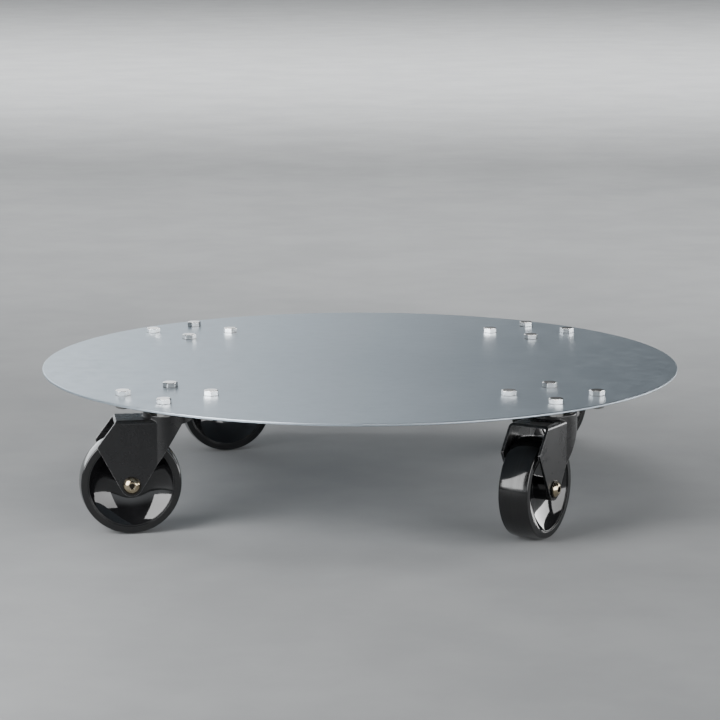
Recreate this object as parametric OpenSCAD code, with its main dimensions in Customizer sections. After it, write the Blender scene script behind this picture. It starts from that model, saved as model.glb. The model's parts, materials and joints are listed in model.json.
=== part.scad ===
// Round wheel dolly: a flat disc deck carried by four swivel casters.
// Frame: origin on the floor under the middle of the deck, +Z up, -Y is the front.
// Every length is in millimetres and every angle in degrees.

/* [Deck] */
// Diameter of the round deck plate
deck_d = 500; // [440:1:640]
// Thickness of the deck plate
deck_t = 2; // [1.5:0.5:6]
// Radius that the deck's rim is rounded to
deck_edge_r = 0.6; // [0.2:0.1:0.7]

/* [Caster layout] */
// Distance from the deck's rim in to each swivel axis
caster_inset = 48.5; // [44:0.5:90]
// Direction in which the front left wheel trails
front_left_turn = 188.5; // [0:0.5:360]
// Direction in which the front right wheel trails
front_right_turn = 240; // [0:0.5:360]
// Direction in which the rear left wheel trails
rear_left_turn = 14; // [0:0.5:360]
// Direction in which the rear right wheel trails
rear_right_turn = 45; // [0:0.5:360]

/* [Mounting plate] */
// Side of the square mounting plate
plate_w = 60; // [50:1:72]
// Thickness of the mounting plate
plate_t = 2.5; // [1.5:0.5:4]
// Radius of the mounting plate's corners
plate_corner_r = 7; // [2:0.5:10]
// Distance from the plate's sides in to the middles of the bolt holes
hole_inset = 7; // [6:0.5:9]

/* [Deck bolts] */
// Thread diameter of the deck bolts
bolt_d = 6; // [4:0.5:6]
// Width across flats of the deck bolt heads and nuts
bolt_flats = 10; // [8:0.5:11]
// Height of the deck bolt heads
bolt_head_h = 4; // [2.5:0.1:5]
// Height of the deck nuts
nut_h = 5; // [3:0.1:6]
// Length of thread that stands out of each deck nut
bolt_proud = 0.6; // [0:0.1:1]
// Radial clearance of the bolt holes round the deck bolts
bolt_clearance = 0.3; // [0.1:0.1:0.5]

/* [Wheel] */
// Diameter of the wheel over its tread
wheel_d = 76; // [60:1:100]
// Width of the wheel over its tread
wheel_w = 23.5; // [20:0.5:32]
// Depth of the tyre from its tread to its seat on the rim
tyre_depth = 6; // [4:0.5:7]
// Radius of the tread's crown across its width
tread_crown_r = 60; // [60:1:200]
// Radius of the tread's outer edges
tread_edge_r = 1; // [0.5:0.1:2]
// Depth of the step from the tyre's side down to the rim's lip
rim_step = 0.5; // [0.2:0.1:1]
// Width of the rim's flat lip
rim_lip = 1; // [0.6:0.1:3]
// Thickness of the wheel's web where it meets the hub
web_t = 4; // [3:0.5:8]
// Wall of the hub round its bush
hub_wall = 2; // [1:0.25:4]
// How far the hub stands out beyond the wheel's side
hub_proud = 1.75; // [0.5:0.25:4]

/* [Axle] */
// Diameter of the axle bolt
axle_d = 6; // [5:0.5:7.5]
// Wall of the sleeve that the wheel runs on, with its clearance
sleeve_wall = 2; // [1:0.25:3]
// Wall of the bush pressed into the hub, with its clearance
bush_wall = 1.5; // [1:0.25:3]
// Radial running clearance of the bush on the sleeve, and of the fork on the kingpin
running_clearance = 0.08; // [0.03:0.01:0.1]
// Radial clearance of the sleeve and the fork's holes round the axle bolt
axle_clearance = 0.05; // [0.02:0.01:0.1]
// Diameter of the axle bolt's collar
collar_d = 13.2; // [12:0.1:15]
// Diameter of the axle bolt's domed head
dome_d = 11.4; // [10:0.1:12]
// Width across flats of the key socket in the domed head
socket_flats = 4; // [3:0.5:5]

/* [Fork] */
// Thickness of the sheet that the fork is pressed from
sheet_t = 2; // [1.5:0.1:3]
// Distance from the swivel axis back to the wheel's axle
trail = 28; // [22:0.5:34]
// End play of the hub between the fork's cheeks, on each side
hub_play = 0.5; // [0.3:0.1:1.5]
// Gap between the wheel's top and the underside of the fork's roof
wheel_gap = 8.5; // [4:0.5:20]
// Inner radius of the bends between roof and cheeks
bend_in_r = 1; // [0.5:0.1:2]
// Radius of the cheek's rounded tip round the axle
tip_r = 8.4; // [8:0.1:12]
// How far the cheek's widest corner lies beyond the axle
cheek_reach = 25; // [18:0.5:32]
// Height of the cheek's widest corner above the axle
cheek_rise = 29; // [20:0.5:34]
// How far the roof's open end lies beyond the axle
roof_reach = 10.5; // [4:0.5:16]
// Radius of the cheek's corners
cheek_corner_r = 2; // [1:0.5:4]
// How far the swivel head swells out beyond the cheeks
head_bulge = 2.3; // [1:0.1:3.5]
// How far the swivel head stands up above the roof
head_rise = 3.5; // [2.5:0.1:6]
// Radius of the swivel head's top edge
head_edge_r = 1.2; // [0.5:0.1:1.8]
// Radius of the fillet between roof and swivel head
head_fillet_r = 1.2; // [0.5:0.1:2]
// Height of the skirt left at the back of the swivel head
skirt_h = 5.4; // [4:0.1:8]
// How far behind the swivel axis the cheek's rear edge turns level
knee_back = 9.5; // [6:0.5:12]
// How far below the roof's top the cheek's rear edge turns level
knee_drop = 3.5; // [2:0.5:8]

/* [Swivel bearing] */
// Diameter of the bearing balls
ball_d = 4; // [3:0.1:4.4]
// Number of balls in the upper ring
upper_balls = 14; // [8:1:16]
// Number of balls in the lower ring
lower_balls = 10; // [6:1:11]
// Clearance between the balls and their grooves
ball_play = 0.1; // [0.05:0.01:0.2]
// Depth of the ball grooves in the swivel head
groove_depth = 0.5; // [0.2:0.1:0.7]
// Gap between the swivel head and each race
race_gap = 2.6; // [2.2:0.1:3]
// Height of the raceway pressed out of the mounting plate
upper_race_h = 4.9; // [3:0.1:8]
// Thickness of the lower race
lower_race_h = 3.9; // [3:0.1:6]
// Diameter of the kingpin
kingpin_d = 10; // [8:0.5:12]
// Diameter of the kingpin's riveted lower head
kingpin_head_d = 16; // [13:0.5:18]
// Height of the kingpin's riveted lower head
kingpin_head_h = 2.8; // [2:0.1:4]

/* [Hidden] */
$fn = 96;
CORNERS = ["front_left", "front_right", "rear_left", "rear_right"];
PIECES = [
    "mounting_plate", "deck_bolts", "deck_nuts", "kingpin", "upper_bearing_balls",
    "lower_bearing_balls", "lower_race", "fork", "axle_bolt", "axle_nut", "axle_sleeve",
    "wheel_bush", "wheel_core", "tyre"
];

// Side of the deck that each caster stands on, as signs of X and Y
corner_signs = [[-1, -1], [1, -1], [-1, 1], [1, 1]];
// Distance of each swivel axis from the deck's middle, along X and along Y
swivel_offset = (deck_d / 2 - caster_inset) / sqrt(2);
wheel_turns = [front_left_turn, front_right_turn, rear_left_turn, rear_right_turn];
// Angle that a corner of each bolt's hexagon points to: left, rear, front and right bolt
bolt_turns = [[55, 11, 26, 31], [41, 8, 19, 49], [56, 16, 2, 43], [30, 23, 8, 49]];
// Direction of each of those bolts from the swivel axis
bolt_directions = [180, 90, 270, 0];
// Distance of each of those bolts from the swivel axis
bolt_circle_r = (plate_w - 2 * hole_inset) / sqrt(2);

// Wheel and axle
wheel_r = wheel_d / 2;
axle_z = wheel_r;
rim_r = wheel_r - tyre_depth;
rim_half_w = wheel_w / 2 - rim_step;
dish_r = rim_r - rim_lip;
// Radii outwards from the axle: sleeve, bush and hub
sleeve_r = axle_d / 2 + sleeve_wall;
bush_r = sleeve_r + bush_wall;
hub_r = bush_r + hub_wall;
hub_half = wheel_w / 2 + hub_proud;
web_half = web_t / 2;
// Depth of the dish below the rim's lip, less a short straight wall
dish_wall = 0.65;
dish_depth = rim_half_w - dish_wall - web_half;
// Radius of the arc that leaves the hub level and reaches the dish's wall
dish_arc_r = (pow(dish_r - hub_r, 2) + pow(dish_depth, 2)) / (2 * dish_depth);
// Middle of each round shoulder of the tread, which lies inside its crown and its side
shoulder_y = wheel_w / 2 - tread_edge_r;
shoulder_x = wheel_r - tread_crown_r + sqrt(pow(tread_crown_r - tread_edge_r, 2) - pow(shoulder_y, 2));
// Rib that locks the tyre on the rim
rib_half_w = 4;
rib_depth = 2;

// Fork
fork_in = hub_half + hub_play;
fork_out = fork_in + sheet_t;
bend_r = bend_in_r + sheet_t;
roof_z = wheel_d + wheel_gap + sheet_t;
head_r = fork_out + head_bulge;
head_z = roof_z + head_rise;
axle_point = [trail, axle_z];
cheek_corner = [trail + cheek_reach, axle_z + cheek_rise];
roof_corner = [trail + roof_reach, roof_z];
knee = [-knee_back, roof_z - knee_drop];
// Length that takes in everything beyond the swivel axis
fork_length = cheek_corner[0] + sheet_t;

// Swivel bearing, from the head upwards and downwards
ball_r = ball_d / 2;
groove_r = ball_r + ball_play;
kingpin_r = kingpin_d / 2;
upper_ball_z = head_z + groove_r - groove_depth;
lower_ball_z = head_z - sheet_t - groove_r + groove_depth;
// Steel between each ball ring's inner side and the kingpin
upper_race_step = 6;
lower_race_step = 2;
upper_pitch_r = kingpin_r + ball_r + upper_race_step;
lower_pitch_r = kingpin_r + ball_r + lower_race_step;
race_wall = 1.6;
// Air left between the lower race and the fork's cheeks
race_air = 0.8;
lower_race_z = head_z - sheet_t - race_gap;
plate_z = head_z + race_gap + upper_race_h;
deck_z = plate_z + plate_t;

// Bolts
bolt_r = bolt_d / 2;
axle_r = axle_d / 2;
thread_chamfer = 0.5;
// Chamfer on the corners of heads and nuts: its height, and its flat face's step in
hex_chamfer_h = 0.6;
hex_face_inset = 0.2;
collar_t = 1;
dome_h = 2.6;
dome_side_h = 0.4;
socket_depth = 1.9;
// Flat ring left round the mouth of the key socket
dome_flat_r = socket_flats / 2 + 1;
lock_nut_h = 4.2;
lock_collar_h = 1.4;
lock_collar_wall = 1.3;
lock_collar_edge_r = 1;

// Small overlap past a face that a cut goes through
cut = 1;

// Distance of a hexagon's corners from its middle
function hex_r(flats) = flats / (2 * cos(30));

// Point where a line from a point touches a circle, on the side that sign picks
function tangent_point(from, centre, radius, sign) =
    let (
        gap = from - centre,
        turn = atan2(gap[1], gap[0]) + sign * acos(radius / norm(gap))
    )
    centre + radius * [cos(turn), sin(turn)];

// Centre of the arc that rounds a corner between two neighbouring points
function corner_centre(before, at, after, radius) =
    let (
        to_before = (before - at) / norm(before - at),
        to_after = (after - at) / norm(after - at),
        half_angle = acos(to_before * to_after) / 2,
        middle = (to_before + to_after) / norm(to_before + to_after)
    )
    at + middle * radius / sin(half_angle);

// Point where that arc meets the side that runs to a neighbouring point
function corner_touch(at, towards, centre) =
    let (along = (towards - at) / norm(towards - at))
    at + along * ((centre - at) * along);

// Height of a sphere's middle that passes through two points given as radius and height
function sphere_z(low, high) =
    (pow(high[0], 2) + pow(high[1], 2) - pow(low[0], 2) - pow(low[1], 2)) / (2 * (high[1] - low[1]));

// Places children on the swivel axis of one caster
module at_corner(i) {
    translate(swivel_offset * corner_signs[i])
        children();
}

// Places children on one caster, turned with its fork
module on_fork(i) {
    at_corner(i)
        rotate([0, 0, wheel_turns[i]])
            children();
}

// Places children on the wheel's axle, with their Z along it
module on_axle() {
    translate([trail, 0, axle_z])
        rotate([-90, 0, 0])
            children();
}

// Places children at the four bolts of one mounting plate
module at_bolts() {
    for (direction = bolt_directions)
        rotate([0, 0, direction])
            translate([bolt_circle_r, 0, 0])
                children();
}

// Hexagonal bar with its top corners chamfered, and its lower ones too if both is true
module chamfered_hex(flats, h, both) {
    corner = hex_r(flats);
    flat_r = flats / 2 - hex_face_inset;
    intersection() {
        cylinder(r = corner, h = h, $fn = 6);
        rotate_extrude()
            polygon([
                [0, 0],
                [both ? flat_r : corner, 0],
                [corner, both ? hex_chamfer_h : 0],
                [corner, h - hex_chamfer_h],
                [flat_r, h],
                [0, h]
            ]);
    }
}

// Threaded shank from z = 0 down, with a chamfered end
module shank(r, length) {
    rotate_extrude()
        polygon([
            [0, 0],
            [r, 0],
            [r, thread_chamfer - length],
            [r - thread_chamfer, -length],
            [0, -length]
        ]);
}

module deck_plate() {
    flat_r = deck_d / 2 - deck_edge_r;
    color("lightsteelblue")
        translate([0, 0, deck_z])
            difference() {
                rotate_extrude() {
                    square([flat_r, deck_t]);
                    translate([0, deck_edge_r])
                        square([deck_d / 2, deck_t - 2 * deck_edge_r]);
                    for (z = [deck_edge_r, deck_t - deck_edge_r])
                        translate([flat_r, z])
                            circle(r = deck_edge_r);
                }
                for (i = [0:3])
                    at_corner(i)
                        at_bolts()
                            translate([0, 0, -cut])
                                cylinder(r = bolt_r + bolt_clearance, h = deck_t + 2 * cut);
            }
}

module mounting_plate() {
    flat_half = plate_w / 2 - plate_corner_r;
    race_in = upper_pitch_r - ball_r - race_wall;
    race_out = upper_pitch_r + ball_r + race_wall;
    color("silver")
        difference() {
            union() {
                rotate([0, 0, 45])
                    translate([0, 0, plate_z])
                        linear_extrude(plate_t) {
                            square([plate_w, 2 * flat_half], center = true);
                            square([2 * flat_half, plate_w], center = true);
                            for (x = [-flat_half, flat_half])
                                for (y = [-flat_half, flat_half])
                                    translate([x, y])
                                        circle(r = plate_corner_r);
                        }
                rotate_extrude()
                    polygon([
                        [race_in, plate_z + plate_t / 2],
                        [race_in, plate_z - upper_race_h],
                        [race_out, plate_z - upper_race_h],
                        [race_out + race_wall, plate_z],
                        [race_out + race_wall, plate_z + plate_t / 2]
                    ]);
            }
            // Ball groove
            rotate_extrude()
                translate([upper_pitch_r, upper_ball_z])
                    circle(r = groove_r);
            // Countersunk seat of the kingpin
            kingpin_stem();
            at_bolts()
                translate([0, 0, plate_z - cut])
                    cylinder(r = bolt_r + bolt_clearance, h = plate_t + 2 * cut);
        }
}

module deck_bolts(turns) {
    reach = deck_t + plate_t + nut_h + bolt_proud;
    color("gainsboro")
        translate([0, 0, deck_z + deck_t])
            for (k = [0:3])
                rotate([0, 0, bolt_directions[k]])
                    translate([bolt_circle_r, 0, 0]) {
                        rotate([0, 0, turns[k] - bolt_directions[k]])
                            chamfered_hex(bolt_flats, bolt_head_h, false);
                        shank(bolt_r, reach);
                    }
}

module deck_nuts() {
    color("gainsboro")
        translate([0, 0, plate_z - nut_h])
            at_bolts()
                difference() {
                    chamfered_hex(bolt_flats, nut_h, true);
                    translate([0, 0, -cut])
                        cylinder(r = bolt_r, h = nut_h + 2 * cut);
                }
}

// Stem of the kingpin with its flared upper end, level with the mounting plate
module kingpin_stem() {
    flare = 1.5;
    low = lower_race_z - lower_race_h;
    rotate_extrude()
        polygon([
            [0, low],
            [kingpin_r, low],
            [kingpin_r, deck_z - flare],
            [kingpin_r + flare, deck_z],
            [0, deck_z]
        ]);
}

module kingpin() {
    head_top = lower_race_z - lower_race_h;
    color("silver") {
        kingpin_stem();
        intersection() {
            translate([0, 0, head_top - kingpin_head_h])
                cylinder(d = kingpin_head_d, h = kingpin_head_h);
            translate([0, 0, head_top - kingpin_head_h + kingpin_head_d])
                sphere(r = kingpin_head_d);
        }
    }
}

// Ring of balls round the swivel axis
module ball_ring(count, pitch_r, z) {
    color("silver")
        for (k = [0:count - 1])
            rotate([0, 0, k * 360 / count])
                translate([pitch_r, 0, z])
                    sphere(r = ball_r);
}

module lower_race() {
    race_out = min(lower_pitch_r + ball_r + race_wall, fork_in - race_air);
    color("silver")
        rotate_extrude()
            difference() {
                translate([kingpin_r, lower_race_z - lower_race_h])
                    square([race_out - kingpin_r, lower_race_h]);
                translate([lower_pitch_r, lower_ball_z])
                    circle(r = groove_r);
            }
}

// Cheek of the fork seen from the side, as X and Z
module cheek_outline() {
    front_touch = tangent_point(cheek_corner, axle_point, tip_r, -1);
    corner = corner_centre(front_touch, cheek_corner, roof_corner, cheek_corner_r);
    translate(axle_point)
        circle(r = tip_r);
    translate(corner)
        circle(r = cheek_corner_r);
    polygon([
        axle_point,
        front_touch,
        corner_touch(cheek_corner, front_touch, corner),
        corner_touch(cheek_corner, roof_corner, corner),
        roof_corner,
        [roof_corner[0], head_z + cut],
        [-head_r - cut, head_z + cut],
        [-head_r - cut, head_z - skirt_h],
        knee,
        tangent_point(knee, axle_point, tip_r, 1)
    ]);
}

// Bar with a round-cornered top that runs forwards from the swivel axis
module channel_bar(length, half_w, top, r, bottom) {
    translate([0, -half_w, bottom])
        cube([length, 2 * half_w, top - r - bottom]);
    translate([0, r - half_w, bottom])
        cube([length, 2 * (half_w - r), top - bottom]);
    for (side = [-1, 1])
        translate([0, side * (half_w - r), top - r])
            rotate([0, 90, 0])
                cylinder(r = r, h = length);
}

// Round bar on the swivel axis, with a rounded top edge
module head_bar(r, top, edge_r, bottom) {
    rotate_extrude() {
        translate([0, bottom])
            square([r - edge_r, top - bottom]);
        translate([0, bottom])
            square([r, top - edge_r - bottom]);
        translate([r - edge_r, top - edge_r])
            circle(r = edge_r);
    }
}

// Fillet between the roof and the front of the swivel head
module head_fillet() {
    intersection() {
        rotate_extrude()
            difference() {
                translate([head_r - head_fillet_r, roof_z - sheet_t / 2])
                    square([2 * head_fillet_r, sheet_t / 2 + head_fillet_r]);
                translate([head_r + head_fillet_r, roof_z + head_fillet_r])
                    circle(r = head_fillet_r);
            }
        translate([0, bend_r - fork_out, roof_z - sheet_t])
            cube([fork_length, 2 * (fork_out - bend_r), sheet_t + head_rise]);
    }
}

module fork() {
    inner_edge_r = 0.3;
    head_bore = head_z - sheet_t;
    color("dimgray")
        difference() {
            intersection() {
                difference() {
                    union() {
                        channel_bar(fork_length, fork_out, roof_z, bend_r, 0);
                        head_bar(head_r, head_z, head_edge_r, 0);
                        head_fillet();
                    }
                    channel_bar(fork_length + cut, fork_in, roof_z - sheet_t, bend_in_r, -cut);
                    head_bar(head_r - sheet_t, head_bore, inner_edge_r, -cut);
                }
                rotate([90, 0, 0])
                    linear_extrude(2 * head_r + cut, center = true)
                        cheek_outline();
            }
            translate([0, 0, head_bore - cut])
                cylinder(r = kingpin_r + running_clearance, h = sheet_t + 2 * cut);
            rotate_extrude()
                translate([upper_pitch_r, upper_ball_z])
                    circle(r = groove_r);
            rotate_extrude()
                translate([lower_pitch_r, lower_ball_z])
                    circle(r = groove_r);
            on_axle()
                cylinder(r = axle_r + axle_clearance, h = 3 * fork_out, center = true);
        }
}

module axle_bolt() {
    dome_r = dome_d / 2;
    centre_z = sphere_z([dome_r, dome_side_h], [dome_flat_r, dome_h]);
    sphere_r = norm([dome_flat_r, dome_h - centre_z]);
    reach = 2 * fork_out + lock_nut_h + lock_collar_h + bolt_proud;
    color("tan")
        on_axle()
            translate([0, 0, fork_out])
                difference() {
                    union() {
                        shank(axle_r, reach);
                        cylinder(d = collar_d, h = collar_t);
                        translate([0, 0, collar_t])
                            intersection() {
                                cylinder(r = dome_r, h = dome_h);
                                translate([0, 0, centre_z])
                                    sphere(r = sphere_r);
                            }
                    }
                    translate([0, 0, collar_t + dome_h - socket_depth])
                        cylinder(r = hex_r(socket_flats), h = socket_depth + cut, $fn = 6);
                }
}

module axle_nut() {
    color("tan")
        on_axle()
            translate([0, 0, -fork_out])
                rotate([180, 0, 0])
                    difference() {
                        union() {
                            chamfered_hex(bolt_flats, lock_nut_h, true);
                            head_bar(axle_r + lock_collar_wall, lock_nut_h + lock_collar_h,
                                lock_collar_edge_r, lock_nut_h / 2);
                        }
                        translate([0, 0, -cut])
                            cylinder(r = axle_r, h = lock_nut_h + lock_collar_h + 2 * cut);
                    }
}

module axle_sleeve() {
    color("silver")
        on_axle()
            difference() {
                cylinder(r = sleeve_r, h = 2 * fork_in, center = true);
                cylinder(r = axle_r + axle_clearance, h = 2 * fork_out, center = true);
            }
}

module wheel_bush() {
    color("whitesmoke")
        on_axle()
            difference() {
                cylinder(r = bush_r, h = 2 * hub_half, center = true);
                cylinder(r = sleeve_r + running_clearance, h = 2 * fork_out, center = true);
            }
}

module wheel_core() {
    color("#202022")
        on_axle()
            rotate_extrude()
                difference() {
                    union() {
                        translate([bush_r, -hub_half])
                            square([hub_wall, 2 * hub_half]);
                        translate([bush_r, -rim_half_w])
                            square([rim_r - bush_r, 2 * rim_half_w]);
                    }
                    // Dish on each side, an arc that leaves the hub level
                    for (side = [-1, 1])
                        intersection() {
                            translate([hub_r, side > 0 ? web_half : -hub_half])
                                square([dish_r - hub_r, hub_half - web_half]);
                            translate([hub_r, side * (web_half + dish_arc_r)])
                                circle(r = dish_arc_r);
                        }
                    // Groove that the tyre's rib locks into
                    translate([rim_r - rib_depth, -rib_half_w])
                        square([rib_depth + cut, 2 * rib_half_w]);
                }
}
// Tread's arc across its width, as far as its round shoulders
module crowned_tread() {
    touch_y = shoulder_y * tread_crown_r / (tread_crown_r - tread_edge_r);
    intersection() {
        translate([rim_r, -touch_y])
            square([tyre_depth, 2 * touch_y]);
        translate([wheel_r - tread_crown_r, 0])
            circle(r = tread_crown_r);
    }
}

module tyre() {
    color("#18181a")
        on_axle()
            rotate_extrude() {
                intersection() {
                    translate([rim_r, -wheel_w / 2])
                        square([tyre_depth, wheel_w]);
                    union() {
                        crowned_tread();
                        translate([rim_r, -wheel_w / 2])
                            square([shoulder_x - rim_r, wheel_w]);
                        for (side = [-1, 1])
                            translate([shoulder_x, side * shoulder_y])
                                circle(r = tread_edge_r);
                    }
                }
                translate([rim_r - rib_depth, -rib_half_w])
                    square([rib_depth, 2 * rib_half_w]);
            }
}

deck_plate();
for (i = [0:3]) {
    c = CORNERS[i];
    at_corner(i) mounting_plate();
    at_corner(i) deck_bolts(bolt_turns[i]);
    at_corner(i) deck_nuts();
    at_corner(i) kingpin();
    at_corner(i) ball_ring(upper_balls, upper_pitch_r, upper_ball_z);
    at_corner(i) ball_ring(lower_balls, lower_pitch_r, lower_ball_z);
    at_corner(i) lower_race();
    on_fork(i) fork();
    on_fork(i) axle_bolt();
    on_fork(i) axle_nut();
    on_fork(i) axle_sleeve();
    on_fork(i) wheel_bush();
    on_fork(i) wheel_core();
    on_fork(i) tyre();
}
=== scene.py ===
"""Finishes, light and camera of the round wheel dolly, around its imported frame."""

import json
import math

import bpy
from mathutils import Matrix, Vector


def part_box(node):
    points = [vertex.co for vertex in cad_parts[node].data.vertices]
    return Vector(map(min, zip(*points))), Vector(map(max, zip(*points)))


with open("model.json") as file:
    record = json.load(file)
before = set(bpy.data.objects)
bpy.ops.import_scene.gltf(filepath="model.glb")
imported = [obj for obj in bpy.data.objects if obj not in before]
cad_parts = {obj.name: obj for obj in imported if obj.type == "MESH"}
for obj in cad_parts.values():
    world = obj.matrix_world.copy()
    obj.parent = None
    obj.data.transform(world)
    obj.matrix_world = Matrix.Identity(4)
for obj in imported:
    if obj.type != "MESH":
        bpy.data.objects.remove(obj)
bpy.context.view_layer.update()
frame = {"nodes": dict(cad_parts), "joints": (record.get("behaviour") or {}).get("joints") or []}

CORNERS = ("front_left", "front_right", "rear_left", "rear_right")
joints = {joint["name"]: joint for joint in frame["joints"]}
deck_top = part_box("deck_plate")[1].z

# Distances from a wheel's axle in metres, each as the start and end of a change in its finish.
KEY_SOCKET = (0.0019, 0.0026)
BOLT_COLLAR = (0.0054, 0.0058)
GREASY_HUB = (0.0085, 0.0125)
TREAD = (0.0366, 0.0372)
# Distance from the middle of the tread at which the scrubbed band fades out.
SCRUBBED_HALF = (0.004, 0.0105)
# Metres that one radian round a wheel stands for in the streaks of its tread.
STREAK_PITCH = 0.012

BLACK_LOW = (0.0045, 0.0045, 0.005)
BLACK_HIGH = (0.007, 0.007, 0.0075)
RUBBER_HIGH = (0.007, 0.007, 0.007)
MOULDED_LOW = (0.004, 0.004, 0.0045)

FLOOR_HALF = 40.0
FLOOR_SHADES = ((0.30, 0.307, 0.312), (0.34, 0.347, 0.352))

# Strengths of the air's even part, its part behind the set, and its two low glows.
AIR = 0.05
AIR_BEHIND = 0.03
REAR_GLOW = 2.9
FRONT_GLOW = 1.3
# The rear glow is full at the left and gone at the right of these, as the X of a direction.
GLOW_LEFT = -0.24
GLOW_RIGHT = 0.10
AIR_COLOUR = (0.93, 0.97, 1.0, 1.0)

# Each panel's place, the point that it faces, its width and height in metres, and its radiance.
MIDDLE = (0.0, 0.0, 0.05)
PANELS = {
    "left_panel": ((-0.76, -0.66, 0.50), (-0.32, 0.30, 0.30), 0.74, 0.78, 10.0),
    "right_panel": ((1.15, -0.85, 0.36), MIDDLE, 1.42, 0.72, 5.2),
    "right_rear_panel": ((1.45, 0.53, 0.24), MIDDLE, 1.20, 0.48, 9.0),
    "overhead_panel": ((0.0, 0.0, 2.6), (0.0, 0.0, 0.0), 1.4, 1.4, 2.2),
    "near_wash": ((0.0, 1.0, 2.3), (0.0, 6.0, 0.0), 7.0, 1.6, 7.0),
    "far_wash": ((0.0, 4.0, 3.6), (0.0, 13.0, 0.0), 14.0, 3.0, 13.0),
}

# Focal length in millimetres, metres in front of the middle and above the deck, degrees down.
CAMERA_LENS = 129.7
CAMERA_BACK = 2.0255
CAMERA_RISE = 0.358
CAMERA_PITCH = 9.99


# ---------------------------------------------------------------- wiring


class Wiring:
    """Puts nodes into one tree. A socket given as a value is linked, anything else is set."""

    def __init__(self, tree):
        self.tree = tree

    def put(self, kind, sockets=(), **settings):
        node = self.tree.nodes.new("ShaderNode" + kind)
        for name, value in settings.items():
            setattr(node, name, value)
        for key, value in dict(sockets).items():
            if isinstance(value, bpy.types.NodeSocket):
                self.tree.links.new(value, node.inputs[key])
            else:
                node.inputs[key].default_value = value
        return node

    def calc(self, operation, first, second=0.0):
        """Result of one sum, product or other step on two numbers."""
        return self.put("Math", {0: first, 1: second}, operation=operation).outputs[0]

    def remap(self, value, low, high, to_low=0.0, to_high=1.0):
        """Smooth step: value runs low to high while the result runs to_low to to_high."""
        sockets = {
            "Value": value,
            "From Min": low,
            "From Max": high,
            "To Min": to_low,
            "To Max": to_high,
        }
        return self.put("MapRange", sockets, interpolation_type="SMOOTHSTEP").outputs["Result"]

    def tint(self, mask, bare, covered):
        """Colour that is bare where the mask is 0 and covered where it is 1."""
        node = self.put("Mix", {0: mask}, data_type="RGBA")
        for socket, colour in ((node.inputs[6], bare), (node.inputs[7], covered)):
            if isinstance(colour, bpy.types.NodeSocket):
                self.tree.links.new(colour, socket)
            else:
                socket.default_value = (*colour, 1.0)
        return node.outputs[2]

    def noise(self, vector, scale, detail=3.0, roughness=0.55):
        sockets = {"Vector": vector, "Scale": scale, "Detail": detail, "Roughness": roughness}
        return self.put("TexNoise", sockets).outputs["Fac"]

    def stretched(self, vector, factors):
        """Coordinates multiplied along each axis, so that a pattern is drawn out across it."""
        return self.put("VectorMath", {0: vector, 1: factors}, operation="MULTIPLY").outputs[0]

    def use(self, group, **sockets):
        """Places one of the shared effects, with underscores in names standing for spaces."""
        node = self.tree.nodes.new("ShaderNodeGroup")
        node.node_tree = group
        for name, value in sockets.items():
            key = name.replace("_", " ")
            if isinstance(value, bpy.types.NodeSocket):
                self.tree.links.new(value, node.inputs[key])
            else:
                node.inputs[key].default_value = value
        return node.outputs

    def object_place(self):
        return self.put("TexCoord").outputs["Object"]


def new_effect(name, inputs, outputs):
    """Empty node group with its sockets. Returns its wiring, its inputs and its output node."""
    tree = bpy.data.node_groups.new(name, "ShaderNodeTree")
    for socket, default in inputs.items():
        kind = "NodeSocketVector" if default is None else "NodeSocketFloat"
        made = tree.interface.new_socket(socket, in_out="INPUT", socket_type=kind)
        if default is not None:
            made.default_value = default
    for socket, kind in outputs.items():
        tree.interface.new_socket(socket, in_out="OUTPUT", socket_type="NodeSocket" + kind)
    start = tree.nodes.new("NodeGroupInput").outputs
    return tree, Wiring(tree), start, tree.nodes.new("NodeGroupOutput").inputs


# ---------------------------------------------------------------- shared effects


def make_clouding():
    """Slow unevenness of a finish: two noises of different size, averaged and steepened."""
    tree, w, given, out = new_effect("clouding", {"Place": None, "Scale": 12.0}, {"Value": "Float"})
    wide = w.noise(given["Place"], given["Scale"], 2.0)
    fine = w.noise(given["Place"], w.calc("MULTIPLY", given["Scale"], 4.3), 4.0)
    both = w.calc("ADD", w.calc("MULTIPLY", wide, 0.65), w.calc("MULTIPLY", fine, 0.35))
    tree.links.new(w.remap(both, 0.32, 0.68), out["Value"])
    return tree


def make_grain():
    """Rolling or brushing lines along local X: noise whose X is squeezed far more than its Y."""
    tree, w, given, out = new_effect(
        "brushed_grain", {"Place": None, "Fineness": 900.0, "Length": 40.0}, {"Value": "Float"}
    )
    apart = w.put("SeparateXYZ", {0: given["Place"]}).outputs
    across = w.calc("DIVIDE", given["Fineness"], given["Length"])
    drawn = w.put(
        "CombineXYZ",
        {
            "X": w.calc("MULTIPLY", apart["X"], across),
            "Y": w.calc("MULTIPLY", apart["Y"], given["Fineness"]),
            "Z": w.calc("MULTIPLY", apart["Z"], given["Fineness"]),
        },
    ).outputs[0]
    tree.links.new(w.noise(drawn, 1.0, 3.0, 0.65), out["Value"])
    return tree


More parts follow.
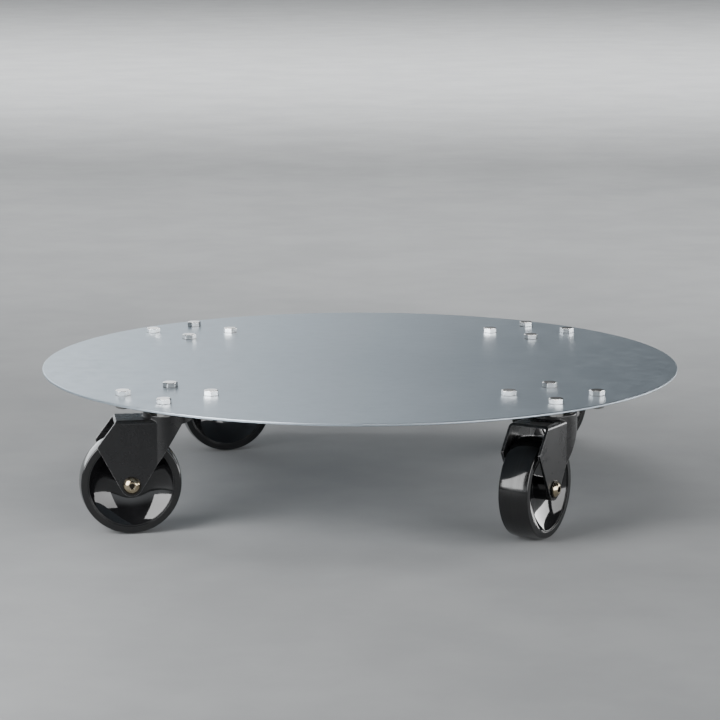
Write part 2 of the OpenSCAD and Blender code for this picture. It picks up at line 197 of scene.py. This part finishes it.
def make_hairlines():
    """Fine handling scratches: thin contour lines of a drawn-out noise, kept in loose patches."""
    tree, w, given, out = new_effect(
        "hairlines", {"Place": None, "Scale": 30.0, "Width": 0.012, "Amount": 0.5}, {"Mask": "Float"}
    )
    lines = None
    for turn, stretch in ((0.5, (1.0, 7.0, 1.0)), (2.1, (9.0, 1.0, 1.0))):
        turned = w.put("VectorRotate", {"Vector": given["Place"], "Angle": turn}).outputs[0]
        value = w.noise(w.stretched(turned, stretch), given["Scale"], 1.0)
        off_middle = w.calc("ABSOLUTE", w.calc("SUBTRACT", value, 0.5))
        line = w.calc("SUBTRACT", 1.0, w.remap(off_middle, 0.0, given["Width"]))
        lines = line if lines is None else w.calc("MAXIMUM", lines, line)
    patches = w.remap(w.noise(given["Place"], w.calc("MULTIPLY", given["Scale"], 0.7), 2.0), 0.48, 0.7)
    kept = w.calc("MULTIPLY", w.calc("MULTIPLY", lines, patches), given["Amount"])
    tree.links.new(kept, out["Mask"])
    return tree


def make_edge_wear():
    """Rubbed edges: how far a rounded-off normal leans from the true one, broken up by noise."""
    tree, w, given, out = new_effect(
        "edge_wear",
        {"Place": None, "Radius": 0.0006, "Amount": 1.0, "Raggedness": 0.5},
        {"Mask": "Float"},
    )
    rounded = w.put("Bevel", {"Radius": given["Radius"]}, samples=6).outputs["Normal"]
    flat = w.put("NewGeometry").outputs["Normal"]
    lean = w.put("VectorMath", {0: rounded, 1: flat}, operation="DOT_PRODUCT").outputs["Value"]
    edge = w.remap(w.calc("SUBTRACT", 1.0, lean), 0.02, 0.22)
    broken = w.remap(w.noise(given["Place"], 420.0, 4.0), 0.3, 0.62)
    missing = w.calc("MULTIPLY", given["Raggedness"], w.calc("SUBTRACT", 1.0, broken))
    share = w.calc("SUBTRACT", 1.0, missing)
    tree.links.new(w.calc("MULTIPLY", w.calc("MULTIPLY", edge, share), given["Amount"]), out["Mask"])
    return tree


def make_soft_edges():
    """Normal of a face with its sharp edges rounded off, so that each edge can catch the light."""
    tree, w, given, out = new_effect("soft_edges", {"Radius": 0.0004}, {"Normal": "Vector"})
    rounded = w.put("Bevel", {"Radius": given["Radius"]}, samples=8).outputs["Normal"]
    tree.links.new(rounded, out["Normal"])
    return tree


def make_dust():
    """Dust that settles on faces that look up: the normal's height times a patchy noise."""
    tree, w, given, out = new_effect(
        "settled_dust", {"Place": None, "Scale": 60.0, "Amount": 0.2}, {"Mask": "Float"}
    )
    normal = w.put("NewGeometry").outputs["Normal"]
    up = w.remap(w.put("SeparateXYZ", {0: normal}).outputs["Z"], 0.1, 0.95)
    patchy = w.remap(w.noise(given["Place"], given["Scale"], 5.0, 0.7), 0.38, 0.72)
    tree.links.new(w.calc("MULTIPLY", w.calc("MULTIPLY", up, patchy), given["Amount"]), out["Mask"])
    return tree


def make_painted_shade():
    """Painted shade in inside corners: darkening by how much of the nearby view is closed off, broken up
    by noise.
    """
    tree, w, given, out = new_effect(
        "painted_corner_shade", {"Place": None, "Reach": 0.002, "Amount": 0.8}, {"Mask": "Float"}
    )
    open_share = w.put("AmbientOcclusion", {"Distance": given["Reach"]}, samples=8).outputs["AO"]
    closed = w.calc("SUBTRACT", 1.0, w.remap(open_share, 0.45, 0.85))
    patchy = w.remap(w.noise(given["Place"], 330.0, 4.0), 0.25, 0.6, 0.55, 1.0)
    tree.links.new(w.calc("MULTIPLY", w.calc("MULTIPLY", closed, patchy), given["Amount"]), out["Mask"])
    return tree


def make_lathe_place():
    """Round coordinates on a turned piece: distance from its axis, way round it, and place along it."""
    tree, w, given, out = new_effect(
        "round_the_axle", {"Place": None}, {"Radius": "Float", "Turn": "Float", "Along": "Float"}
    )
    apart = w.put("SeparateXYZ", {0: given["Place"]}).outputs
    squares = w.calc("ADD", w.calc("POWER", apart["X"], 2.0), w.calc("POWER", apart["Y"], 2.0))
    tree.links.new(w.calc("SQRT", squares), out["Radius"])
    tree.links.new(w.calc("ARCTAN2", apart["Y"], apart["X"]), out["Turn"])
    tree.links.new(apart["Z"], out["Along"])
    return tree


CLOUDING = make_clouding()
GRAIN = make_grain()
HAIRLINES = make_hairlines()
EDGE_WEAR = make_edge_wear()
SOFT_EDGES = make_soft_edges()
DUST = make_dust()
PAINTED_SHADE = make_painted_shade()
LATHE_PLACE = make_lathe_place()


# ---------------------------------------------------------------- finishes


def new_finish(name, **constants):
    """Material with one Principled shader. The constants are set on the shader's own sockets."""
    material = bpy.data.materials.new(name)
    material.use_nodes = True
    tree = material.node_tree
    shader = next(node for node in tree.nodes if node.type == "BSDF_PRINCIPLED")
    for socket, value in constants.items():
        shader.inputs[socket.replace("_", " ")].default_value = value
    return material, Wiring(tree), shader


def finish_with(w, shader, colour, roughness, height=None, strength=0.1, distance=0.0002, soften=0.0):
    """Feeds the shader its colour, roughness and bump, on edges softened to a radius in metres."""
    w.tree.links.new(colour, shader.inputs["Base Color"])
    w.tree.links.new(roughness, shader.inputs["Roughness"])
    if height is not None:
        bump = w.put("Bump", {"Height": height, "Strength": strength, "Distance": distance})
        if soften > 0.0:
            w.tree.links.new(w.use(SOFT_EDGES, Radius=soften)["Normal"], bump.inputs["Normal"])
        w.tree.links.new(bump.outputs["Normal"], shader.inputs["Normal"])


def deck_sheet():
    """Satin rolled sheet: fine lines along X, faint clouding, handling hairlines, a bright cut rim."""
    material, w, shader = new_finish("deck_sheet", Metallic=1.0)
    place = w.object_place()
    cloud = w.use(CLOUDING, Place=place, Scale=16.0)["Value"]
    grain = w.use(GRAIN, Place=place, Fineness=1500.0, Length=34.0)["Value"]
    # Painted shade: near black where nearby parts close in, as round the foot of each bolt head.
    painted_shade = w.use(PAINTED_SHADE, Place=place, Reach=0.0022, Amount=0.75)["Mask"]
    scratch = w.use(HAIRLINES, Place=place, Scale=16.0, Width=0.006, Amount=0.5)["Mask"]
    rim = w.use(EDGE_WEAR, Place=place, Radius=0.0009, Amount=0.9, Raggedness=0.35)["Mask"]
    dust = w.use(DUST, Place=place, Scale=90.0, Amount=0.05)["Mask"]
    base = w.tint(cloud, (0.515, 0.595, 0.665), (0.545, 0.622, 0.690))
    lined = w.tint(w.remap(grain, 0.3, 0.7, 0.0, 0.35), base, (0.455, 0.530, 0.595))
    worn = w.tint(w.calc("MULTIPLY", scratch, 0.35), lined, (0.78, 0.80, 0.82))
    rubbed = w.tint(rim, worn, (0.80, 0.79, 0.77))
    colour = w.tint(painted_shade, w.tint(dust, rubbed, (0.42, 0.41, 0.39)), (0.07, 0.065, 0.06))
    rough = w.calc("ADD", w.remap(cloud, 0.0, 1.0, 0.375, 0.39), w.remap(grain, 0.25, 0.75, -0.02, 0.03))
    rough = w.calc("SUBTRACT", rough, w.calc("MULTIPLY", rim, 0.10))
    height = w.calc("SUBTRACT", grain, w.calc("MULTIPLY", scratch, 0.8))
    finish_with(w, shader, colour, w.calc("ADD", rough, dust), height, 0.05, 0.00003)
    return material


def bright_plating(name, shade_depth):
    """Bright zinc: faint clouding and draw lines, polished corners. Shade depth is how far painted shade
    greys the whole part, as on the nuts under the deck.
    """
    material, w, shader = new_finish(name, Metallic=1.0)
    place = w.object_place()
    cloud = w.use(CLOUDING, Place=place, Scale=140.0)["Value"]
    grain = w.use(GRAIN, Place=place, Fineness=2600.0, Length=5.0)["Value"]
    edge = w.use(EDGE_WEAR, Place=place, Radius=0.0005, Amount=1.0, Raggedness=0.4)["Mask"]
    # Painted shade: dark brown where nearby parts close in, as at the foot of a head or nut.
    painted_shade = w.use(PAINTED_SHADE, Place=place, Reach=0.0012, Amount=0.9)["Mask"]
    base = w.tint(cloud, (0.80, 0.78, 0.76), (0.93, 0.925, 0.915))
    polished = w.tint(edge, base, (0.96, 0.96, 0.955))
    # Painted shade: the whole part greyed by its shade depth, used for the nuts under the deck.
    shade_greyed = w.tint(shade_depth, polished, (0.20, 0.20, 0.195))
    colour = w.tint(painted_shade, shade_greyed, (0.10, 0.085, 0.07))
    rough = w.calc("ADD", w.remap(cloud, 0.0, 1.0, 0.17, 0.09), w.remap(grain, 0.3, 0.7, -0.02, 0.03))
    rough = w.calc("SUBTRACT", rough, w.calc("MULTIPLY", edge, 0.03))
    finish_with(w, shader, colour, rough, grain, 0.12, 0.00004, soften=0.0005)
    return material


def dull_zinc():
    """Zinc on the pressed plates and pins: crystal patches of slightly different grey."""
    material, w, shader = new_finish("dull_zinc", Metallic=1.0)
    place = w.object_place()
    crystals = w.put("TexVoronoi", {"Vector": place, "Scale": 210.0}).outputs["Color"]
    patch = w.put("SeparateColor", {0: crystals}).outputs[0]
    cloud = w.use(CLOUDING, Place=place, Scale=45.0)["Value"]
    edge = w.use(EDGE_WEAR, Place=place, Radius=0.0006, Amount=0.8, Raggedness=0.6)["Mask"]
    spangle = w.tint(w.calc("MULTIPLY", patch, 0.6), (0.56, 0.575, 0.585), (0.68, 0.69, 0.70))
    clouded = w.tint(w.calc("MULTIPLY", cloud, 0.4), spangle, (0.47, 0.48, 0.49))
    colour = w.tint(edge, clouded, (0.78, 0.78, 0.78))
    rough = w.calc("ADD", w.remap(patch, 0.0, 1.0, 0.30, 0.40), w.calc("MULTIPLY", cloud, 0.08))
    finish_with(w, shader, colour, rough, cloud, 0.15, 0.00005)
    return material


def ball_steel():
    """Polished bearing balls, with a thin film of grease that dulls them in patches."""
    material, w, shader = new_finish("ball_steel", Metallic=1.0)
    place = w.object_place()
    film = w.use(CLOUDING, Place=place, Scale=260.0)["Value"]
    colour = w.tint(film, (0.72, 0.72, 0.72), (0.50, 0.46, 0.38))
    finish_with(w, shader, colour, w.remap(film, 0.0, 1.0, 0.07, 0.26), film, 0.05, 0.00002)
    return material


def black_enamel():
    """Gloss black on the pressed forks: orange peel, faint hairlines, edges rubbed to grey."""
    material, w, shader = new_finish("black_enamel", IOR=1.47, Coat_Roughness=0.12)
    place = w.object_place()
    cloud = w.use(CLOUDING, Place=place, Scale=38.0)["Value"]
    peel = w.noise(place, 650.0, 2.0, 0.4)
    edge = w.use(EDGE_WEAR, Place=place, Radius=0.0007, Amount=0.75, Raggedness=0.65)["Mask"]
    scratch = w.use(HAIRLINES, Place=place, Scale=60.0, Width=0.008, Amount=0.5)["Mask"]
    dust = w.use(DUST, Place=place, Scale=160.0, Amount=0.10)["Mask"]
    base = w.tint(cloud, BLACK_LOW, BLACK_HIGH)
    rubbed = w.tint(w.calc("MULTIPLY", edge, 0.75), base, (0.34, 0.34, 0.345))
    lined = w.tint(w.calc("MULTIPLY", scratch, 0.10), rubbed, (0.16, 0.16, 0.16))
    colour = w.tint(dust, lined, (0.30, 0.29, 0.27))
    rough = w.calc("ADD", w.remap(cloud, 0.0, 1.0, 0.25, 0.32), w.calc("MULTIPLY", scratch, 0.12))
    rough = w.calc("ADD", rough, w.calc("MULTIPLY", dust, 0.6))
    finish_with(w, shader, colour, rough, peel, 0.10, 0.00006, soften=0.0007)
    lacquer = w.remap(cloud, 0.0, 1.0, 0.20, 0.10)
    w.tree.links.new(lacquer, shader.inputs["Coat Weight"])
    return material


def yellow_plating(corner):
    """Yellow zinc on an axle bolt: warm and stained, with painted shade near black in its key socket and
    painted near black on its collar.
    """
    material, w, shader = new_finish(f"{corner}_yellow_plating", Metallic=1.0)
    place = w.object_place()
    radius = w.use(LATHE_PLACE, Place=wheel_place(w, corner))["Radius"]
    # Painted shade: the key socket's recess is painted near black; the collar is painted near black as
    # well.
    socket = w.calc("SUBTRACT", 1.0, w.remap(radius, *KEY_SOCKET))
    socket_shade_and_dark_collar = w.calc("MAXIMUM", socket, w.remap(radius, *BOLT_COLLAR))
    stain = w.use(CLOUDING, Place=place, Scale=170.0)["Value"]
    grain = w.noise(place, 2400.0, 3.0)
    edge = w.use(EDGE_WEAR, Place=place, Radius=0.0005, Amount=0.9, Raggedness=0.4)["Mask"]
    base = w.tint(stain, (0.37, 0.30, 0.195), (0.53, 0.46, 0.335))
    bare = w.tint(edge, base, (0.72, 0.67, 0.57))
    colour = w.tint(w.calc("MULTIPLY", socket_shade_and_dark_collar, 0.93), bare, (0.02, 0.018, 0.015))
    rough = w.calc("ADD", w.remap(stain, 0.0, 1.0, 0.17, 0.11), w.remap(grain, 0.3, 0.7, -0.02, 0.03))
    finish_with(w, shader, colour, rough, grain, 0.06, 0.00002, soften=0.0003)
    return material


def turned_steel(corner):
    """Turned axle sleeve: fine rings round the axle, a little darker in their valleys."""
    material, w, shader = new_finish(f"{corner}_turned_steel", Metallic=1.0)
    round_place = w.use(LATHE_PLACE, Place=wheel_place(w, corner))
    rings = w.noise(w.put("CombineXYZ", {"X": round_place["Along"]}).outputs[0], 4200.0, 2.0)
    colour = w.tint(rings, (0.46, 0.46, 0.47), (0.66, 0.66, 0.66))
    finish_with(w, shader, colour, w.remap(rings, 0.3, 0.7, 0.22, 0.36), rings, 0.2, 0.00003)
    return material


def bush_nylon():
    """Natural nylon: waxy off-white with slow staining from grease."""
    material, w, shader = new_finish(
        "bush_nylon", IOR=1.53, Subsurface_Weight=0.08, Subsurface_Scale=0.002
    )
    place = w.object_place()
    stain = w.use(CLOUDING, Place=place, Scale=90.0)["Value"]
    colour = w.tint(stain, (0.72, 0.70, 0.64), (0.60, 0.56, 0.47))
    finish_with(w, shader, colour, w.remap(stain, 0.0, 1.0, 0.42, 0.55), stain, 0.1, 0.00004)
    return material


def wheel_place(w, corner):
    """Object coordinates moved and turned so that Z runs along one wheel's axle from its middle."""
    joint = joints[f"{corner}_roll"]
    along = Vector(joint["axis"]).normalized()
    up = Vector((0.0, 0.0, 1.0))
    ahead = up.cross(along)
    turn = Matrix((ahead, up, along)).transposed().to_euler()
    sockets = {"Vector": w.object_place(), "Location": joint["pos_m"], "Rotation": turn}
    return w.put("Mapping", sockets, vector_type="TEXTURE").outputs[0]


def wheel_moulding(corner):
    """Gloss moulded wheel: faint rings from the mould, hub dulled by grease, light scuffs."""
    material, w, shader = new_finish(f"{corner}_wheel_moulding", IOR=1.5, Coat_Roughness=0.03)
    local = wheel_place(w, corner)
    round_place = w.use(LATHE_PLACE, Place=local)
    rings = w.noise(w.put("CombineXYZ", {"X": round_place["Radius"]}).outputs[0], 1100.0, 2.0, 0.4)
    cloud = w.use(CLOUDING, Place=local, Scale=48.0)["Value"]
    scuff = w.use(HAIRLINES, Place=local, Scale=75.0, Width=0.008, Amount=0.45)["Mask"]
    edge = w.use(EDGE_WEAR, Place=local, Radius=0.0006, Amount=0.6, Raggedness=0.5)["Mask"]
    grease = w.calc("SUBTRACT", 1.0, w.remap(round_place["Radius"], *GREASY_HUB))
    base = w.tint(cloud, MOULDED_LOW, BLACK_HIGH)
    scuffed = w.tint(w.calc("MULTIPLY", scuff, 0.12), base, (0.12, 0.12, 0.12))
    colour = w.tint(w.calc("MULTIPLY", edge, 0.35), scuffed, (0.10, 0.10, 0.105))
    rough = w.calc("ADD", w.remap(cloud, 0.0, 1.0, 0.035, 0.07), w.calc("MULTIPLY", scuff, 0.15))
    rough = w.calc("ADD", rough, w.calc("MULTIPLY", grease, 0.16))
    finish_with(w, shader, colour, rough, rings, 0.02, 0.00004, soften=0.0006)
    shine = w.remap(cloud, 0.0, 1.0, 0.30, 0.20)
    w.tree.links.new(shine, shader.inputs["Coat Weight"])
    return material


def tread_rubber(corner):
    """Smooth hard rubber: glossy sides, a band round the tread scrubbed dull by the floor."""
    material, w, shader = new_finish(f"{corner}_tread_rubber", IOR=1.46, Coat_Roughness=0.05)
    local = wheel_place(w, corner)
    round_place = w.use(LATHE_PLACE, Place=local)
    cloud = w.use(CLOUDING, Place=local, Scale=60.0)["Value"]
    off_middle = w.calc("ABSOLUTE", round_place["Along"])
    on_tread = w.remap(round_place["Radius"], *TREAD)
    near_middle = w.calc("SUBTRACT", 1.0, w.remap(off_middle, *SCRUBBED_HALF))
    band = w.calc("MULTIPLY", near_middle, on_tread)
    sweep = w.put(
        "CombineXYZ",
        {"X": w.calc("MULTIPLY", round_place["Turn"], STREAK_PITCH), "Y": round_place["Along"]},
    ).outputs[0]
    streaks = w.use(GRAIN, Place=sweep, Fineness=1400.0, Length=18.0)["Value"]
    scrub = w.calc("MULTIPLY", band, w.remap(streaks, 0.35, 0.7))
    dust = w.calc("MULTIPLY", scrub, w.remap(w.noise(local, 90.0, 4.0), 0.42, 0.72))
    base = w.tint(cloud, BLACK_LOW, RUBBER_HIGH)
    colour = w.tint(w.calc("MULTIPLY", dust, 0.05), base, (0.16, 0.155, 0.145))
    rough = w.calc("ADD", w.remap(cloud, 0.0, 1.0, 0.09, 0.13), w.calc("MULTIPLY", scrub, 0.07))
    finish_with(w, shader, colour, rough, streaks, 0.02, 0.00004, soften=0.0006)
    shine = w.calc("SUBTRACT", 0.35, w.calc("MULTIPLY", scrub, 0.25))
    w.tree.links.new(shine, shader.inputs["Coat Weight"])
    return material


def put_on(node, material):
    """Gives a node its one finish."""
    slots = frame["nodes"][node].data.materials
    slots.clear()
    slots.append(material)


def finish_everything():
    """Puts a finish on the deck and on every piece of the four casters."""
    put_on("deck_plate", deck_sheet())
    bolt_plating = bright_plating("bolt_plating", 0.0)
    nut_plating = bright_plating("nut_plating", 0.8)
    zinc = dull_zinc()
    balls = ball_steel()
    enamel = black_enamel()
    nylon = bush_nylon()
    for corner in CORNERS:
        yellow = yellow_plating(corner)
        finishes = {
            "mounting_plate": zinc,
            "deck_bolts": bolt_plating,
            "deck_nuts": nut_plating,
            "kingpin": zinc,
            "upper_bearing_balls": balls,
            "lower_bearing_balls": balls,
            "lower_race": zinc,
            "fork": enamel,
            "axle_bolt": yellow,
            "axle_nut": yellow,
            "axle_sleeve": turned_steel(corner),
            "wheel_bush": nylon,
            "wheel_core": wheel_moulding(corner),
            "tyre": tread_rubber(corner),
        }
        for piece, material in finishes.items():
            put_on(f"{corner}_{piece}", material)


# ---------------------------------------------------------------- stage, light and camera


def floor():
    """Pale level floor under the wheels, far larger than the view."""
    half = FLOOR_HALF
    mesh = bpy.data.meshes.new("floor")
    corners = [(-half, -half, 0.0), (half, -half, 0.0), (half, half, 0.0), (-half, half, 0.0)]
    mesh.from_pydata(corners, [], [(0, 1, 2, 3)])
    thing = bpy.data.objects.new("floor", mesh)
    bpy.context.scene.collection.objects.link(thing)
    material, w, shader = new_finish("floor", Specular_IOR_Level=0.10)
    place = w.object_place()
    cloud = w.use(CLOUDING, Place=place, Scale=6.0)["Value"]
    colour = w.tint(cloud, FLOOR_SHADES[0], FLOOR_SHADES[1])
    finish_with(w, shader, colour, w.remap(cloud, 0.0, 1.0, 0.85, 0.92))
    mesh.materials.append(material)


def softbox(name, place, target, width, height, radiance):
    """Rectangular soft light that faces a point. Its power is pi times its area times its radiance."""
    data = bpy.data.lights.new(name, "AREA")
    data.shape = "RECTANGLE"
    data.size, data.size_y = width, height
    data.energy = math.pi * width * height * radiance
    lamp = bpy.data.objects.new(name, data)
    bpy.context.scene.collection.objects.link(lamp)
    lamp.location = place
    lamp.rotation_euler = (Vector(target) - Vector(place)).to_track_quat("-Z", "Y").to_euler()
    lamp.visible_camera = False


def studio_air():
    """Dim air: a low glow behind the set that fades from left to right, and a fainter one in front."""
    world = bpy.data.worlds.new("air")
    bpy.context.scene.world = world
    world.use_nodes = True
    w = Wiring(world.node_tree)
    way = w.put("SeparateXYZ", {0: w.put("TexCoord").outputs["Generated"]}).outputs
    leftness = w.remap(way["X"], GLOW_LEFT, GLOW_RIGHT, 1.0, 0.0)
    behind = w.remap(way["Y"], 0.05, 0.80)
    low = w.remap(way["Z"], 0.22, 0.70, 1.0, 0.0)
    rear = w.calc("MULTIPLY", w.calc("MULTIPLY", leftness, behind), low)
    in_front = w.remap(way["Y"], -0.15, -0.80)
    lowest = w.remap(way["Z"], 0.02, 0.42, 1.0, 0.0)
    front = w.calc("MULTIPLY", w.calc("MULTIPLY", in_front, lowest), FRONT_GLOW)
    haze = w.calc("ADD", w.calc("MULTIPLY", behind, AIR_BEHIND), AIR)
    strength = w.calc("ADD", w.calc("ADD", w.calc("MULTIPLY", rear, REAR_GLOW), front), haze)
    back = world.node_tree.nodes["Background"]
    back.inputs["Color"].default_value = AIR_COLOUR
    world.node_tree.links.new(strength, back.inputs["Strength"])


def studio_light():
    """Soft panels round the dolly, and two that face away from it and wash the floor beyond."""
    for name, panel in PANELS.items():
        softbox(name, *panel)


def camera():
    """Long lens in front of the dolly, a little above its deck, looking slightly down."""
    data = bpy.data.cameras.new("camera")
    data.sensor_width = 36.0
    data.lens = CAMERA_LENS
    data.clip_start, data.clip_end = 0.05, 100.0
    eye = bpy.data.objects.new("camera", data)
    bpy.context.scene.collection.objects.link(eye)
    eye.location = (0.0, -CAMERA_BACK, deck_top + CAMERA_RISE)
    eye.rotation_euler = (math.radians(90.0 - CAMERA_PITCH), 0.0, 0.0)
    bpy.context.scene.camera = eye


camera()
floor()
studio_air()
studio_light()
finish_everything()
